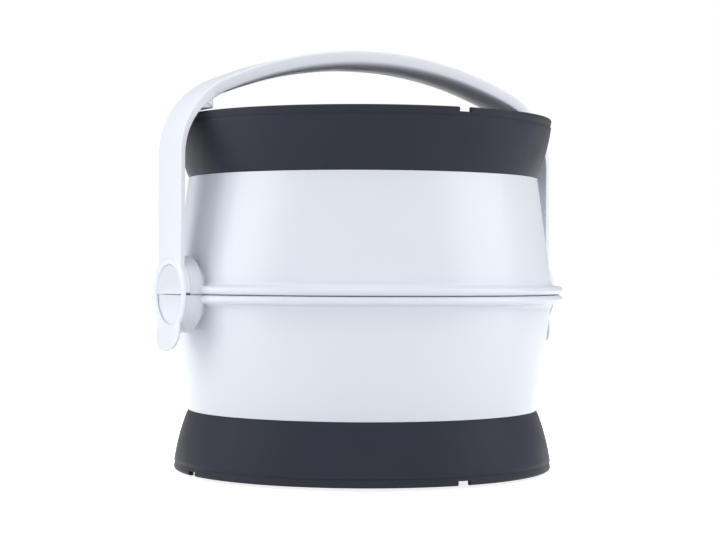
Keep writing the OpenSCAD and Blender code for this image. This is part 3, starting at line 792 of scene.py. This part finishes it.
def arch(side):
    """The part of the hub behind the eye, open below."""
    start = HUB_REACH + 0.1
    inner = LID_BOSS_RADIUS + 0.1
    low = math.radians(ARCH_END_ANGLE)
    outline = []
    steps = 48
    for step in range(steps + 1):
        angle = low + (math.pi - 2 * low) * step / steps
        outline.append((HUB_RADIUS * math.cos(angle), SEAM_Z + HUB_RADIUS * math.sin(angle)))
    for step in range(steps + 1):
        angle = math.pi - low - (math.pi - 2 * low) * step / steps
        outline.append((inner * math.cos(angle), SEAM_Z + inner * math.sin(angle)))
    return rounded_slab(outline, start, EYE_BACK + 0.1, 0.05, lambda y, z, x: (side * x, y, z))


def tab(side):
    """The finger tab: a plate that leaves the eye in line with its face and flares outwards."""
    half = STRAP_WIDTH / 2
    outline = []
    for step in range(9):
        angle = math.pi / 2 * step / 8
        outline.append((
            half - TAB_CORNER + TAB_CORNER * math.cos(angle),
            TAB_BOW - TAB_DROP + TAB_CORNER - TAB_CORNER * math.sin(angle),
        ))
    reach = half - TAB_CORNER
    for step in range(1, 12):
        y = reach - 2 * reach * step / 12
        outline.append((y, -TAB_DROP + TAB_BOW * (y / reach) ** 2))
    outline += [(-y, z) for y, z in reversed(outline[:9])]
    outline += [(-half, TAB_TOP), (half, TAB_TOP)]
    plate = rounded_slab(
        outline, EYE_BACK, EYE_FACE - 0.05, 0.5, lambda y, z, x: (side * x, y, SEAM_Z + z)
    )
    plate = cut(plate, rod(side, EYE_RADIUS - EYE_ROUND - 0.2, EYE_BACK - 2, EYE_FACE + 4))
    for step in range(14):
        bmesh.ops.bisect_plane(
            plate, geom=plate.verts[:] + plate.edges[:] + plate.faces[:],
            plane_co=(0, 0, (SEAM_Z - 11 - step) * MM), plane_no=(0, 0, 1),
        )
    for vert in plate.verts:
        below = SEAM_Z - TAB_BEND_START - vert.co.z / MM
        fall = min(max(below / (TAB_DROP - TAB_BEND_START), 0), 1)
        thicker = TAB_FACE_EXTRA if abs(vert.co.x) / MM > EYE_BACK + 0.6 else 0
        out = TAB_FLARE - TAB_FACE_EXTRA + thicker
        vert.co.x += side * out * fall ** TAB_BEND_POWER * MM
    return plate


def shoulder(side):
    """The block inside the bend that rests over the rim."""
    outline = fillet([
        (SHOULDER_REACH, SHOULDER_LEVEL, 0.5), (85.4, SHOULDER_LEVEL, 0.4), (84.6, 82, 0.5),
        (SHOULDER_REACH, 86, 0.5),
    ])
    half = STRAP_WIDTH / 2 - 0.3
    return rounded_slab(outline, -half, half, 0.7, lambda x, z, y: (side * x, y, SEAM_Z + z))


eye_rods = [rod(side, EYE_HOLE + 0.5, ARM_REACH - 5, EYE_FACE + 4) for side in (-1, 1)]
parts = [cut(strap(), *eye_rods)]
for side in (-1, 1):
    parts += [eye(side), arch(side), tab(side), shoulder(side)]
finish_mesh("bail_handle", join(*parts), "handle", HANDLE_WHITE, ["handle"])


# Floor, backdrop and light

BACKDROP_GLOW = 0.85
WORLD_LEVEL = 0.54
SIDE_TURN = 78

def studio_material():
    material = bpy.data.materials.new("studio_white")
    material.use_nodes = True
    tree = material.node_tree
    tree.nodes.remove(tree.nodes["Principled BSDF"])
    output = tree.nodes["Material Output"]
    path = tree.nodes.new("ShaderNodeLightPath")
    diffuse = tree.nodes.new("ShaderNodeBsdfDiffuse")
    diffuse.inputs["Color"].default_value = (0.82, 0.82, 0.82, 1)
    glow = tree.nodes.new("ShaderNodeEmission")
    seen = tree.nodes.new("ShaderNodeMath")
    seen.operation = "MAXIMUM"
    both = tree.nodes.new("ShaderNodeMath")
    both.operation = "MAXIMUM"
    strength = tree.nodes.new("ShaderNodeMath")
    strength.operation = "MULTIPLY"
    strength.inputs[1].default_value = BACKDROP_GLOW
    total = tree.nodes.new("ShaderNodeAddShader")
    tree.links.new(path.outputs["Is Camera Ray"], seen.inputs[0])
    tree.links.new(path.outputs["Is Glossy Ray"], seen.inputs[1])
    tree.links.new(seen.outputs[0], both.inputs[0])
    tree.links.new(path.outputs["Is Transmission Ray"], both.inputs[1])
    tree.links.new(both.outputs[0], strength.inputs[0])
    tree.links.new(strength.outputs[0], glow.inputs["Strength"])
    tree.links.new(diffuse.outputs[0], total.inputs[0])
    tree.links.new(glow.outputs[0], total.inputs[1])
    tree.links.new(total.outputs[0], output.inputs["Surface"])
    return material


def make_floor():
    made = bmesh.new()
    reach = 6
    corners = [(-reach, -reach), (reach, -reach), (reach, reach), (-reach, reach)]
    made.faces.new([made.verts.new((x, y, 0)) for x, y in corners])
    mesh = bpy.data.meshes.new("floor")
    made.to_mesh(mesh)
    made.free()
    floor = bpy.data.objects.new("floor", mesh)
    bpy.context.scene.collection.objects.link(floor)
    mesh.materials.append(studio_material())


def make_world():
    world = bpy.data.worlds.new("studio")
    bpy.context.scene.world = world
    world.use_nodes = True
    tree = world.node_tree
    shader = tree.nodes["Background"]
    path = tree.nodes.new("ShaderNodeLightPath")
    ranged = tree.nodes.new("ShaderNodeMapRange")
    ranged.inputs["To Min"].default_value = WORLD_LEVEL
    ranged.inputs["To Max"].default_value = 1
    shader.inputs["Color"].default_value = (1, 1, 1, 1)
    tree.links.new(path.outputs["Is Camera Ray"], ranged.inputs["Value"])
    tree.links.new(ranged.outputs["Result"], shader.inputs["Strength"])


def area_light(name, azimuth, height, distance, width, tall, power):
    """A soft box round the object, aimed at its middle; azimuth is as the camera's."""
    turn = math.radians(azimuth)
    data = bpy.data.lights.new(name, "AREA")
    data.shape = "RECTANGLE"
    data.size = width
    data.size_y = tall
    data.energy = power
    light = bpy.data.objects.new(name, data)
    light.location = (math.sin(turn) * distance, -math.cos(turn) * distance, height)
    aim = Vector((0, 0, SEAM_Z * MM)) - light.location
    light.rotation_euler = aim.to_track_quat("-Z", "Y").to_euler()
    bpy.context.scene.collection.objects.link(light)


make_floor()
make_world()
area_light("left_box", CAMERA_AZIMUTH - SIDE_TURN, 0.45, 1.1, 0.9, 1.2, 6.5)
area_light("right_box", CAMERA_AZIMUTH + SIDE_TURN, 0.45, 1.1, 0.9, 1.2, 6.0)
area_light("top_box", CAMERA_AZIMUTH, 1.3, 0.35, 1.2, 1.2, 5.2)
area_light("front_fill", CAMERA_AZIMUTH, 0.6, 1.6, 1.4, 1.0, 1.1)
area_light("low_fill", CAMERA_AZIMUTH, 0.1, 1.4, 2.0, 0.18, 2.0)
